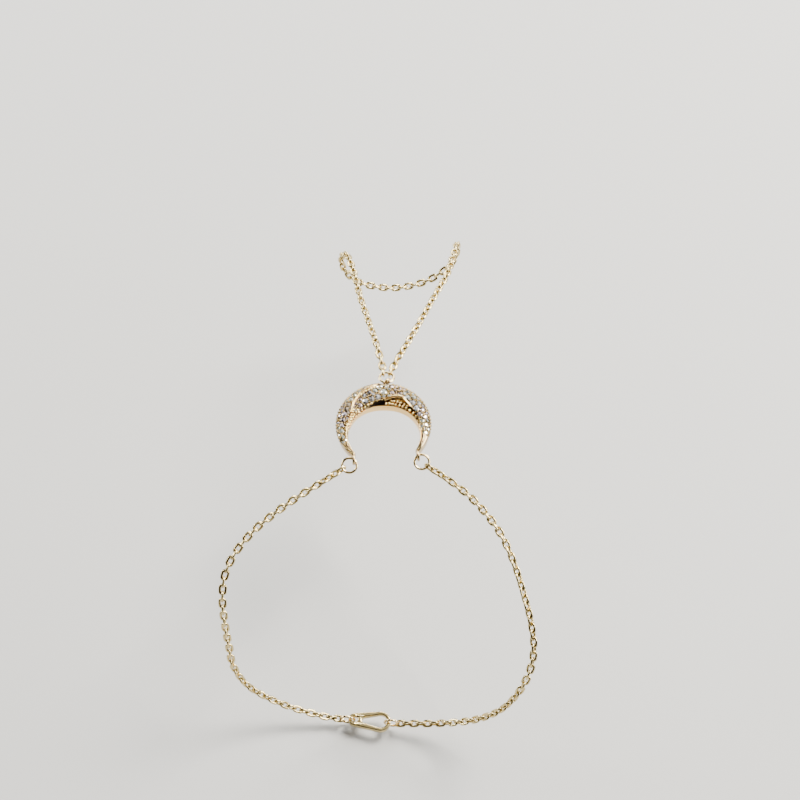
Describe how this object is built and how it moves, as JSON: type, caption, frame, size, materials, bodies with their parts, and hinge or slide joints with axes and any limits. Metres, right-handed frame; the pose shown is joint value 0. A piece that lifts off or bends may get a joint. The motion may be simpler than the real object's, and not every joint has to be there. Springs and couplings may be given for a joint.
{
  "type": "hand chain bracelet",
  "caption": "Bracelet worn on hand and wrist: a paved crescent, a chain loop round the middle finger and chains from the horns round the wrist to a clasp.",
  "frame": {"origin": "centre of the crescent's outer circle, in the plane of its flat back, where it lies on the back of the hand", "axes": "+Z out of the back of the hand, +Y to the fingers, +X to the thumb's side"},
  "size_m": [0.0633, 0.1071, 0.0441],
  "materials": {
    "gold": "polished light yellow gold plating",
    "stones": "clear cut stones"
  },
  "bodies": {
    "root": {"crescent": "gold", "left_stones": "stones", "middle_stones": "stones", "right_stones": "stones", "top_ring": "gold", "left_ring": "gold", "right_ring": "gold", "finger_chain": "gold", "wrist_chain_left": "gold", "wrist_chain_right": "gold", "clasp": "gold", "clasp_ring": "gold", "end_ring": "gold"}
  },
  "joints": []
}
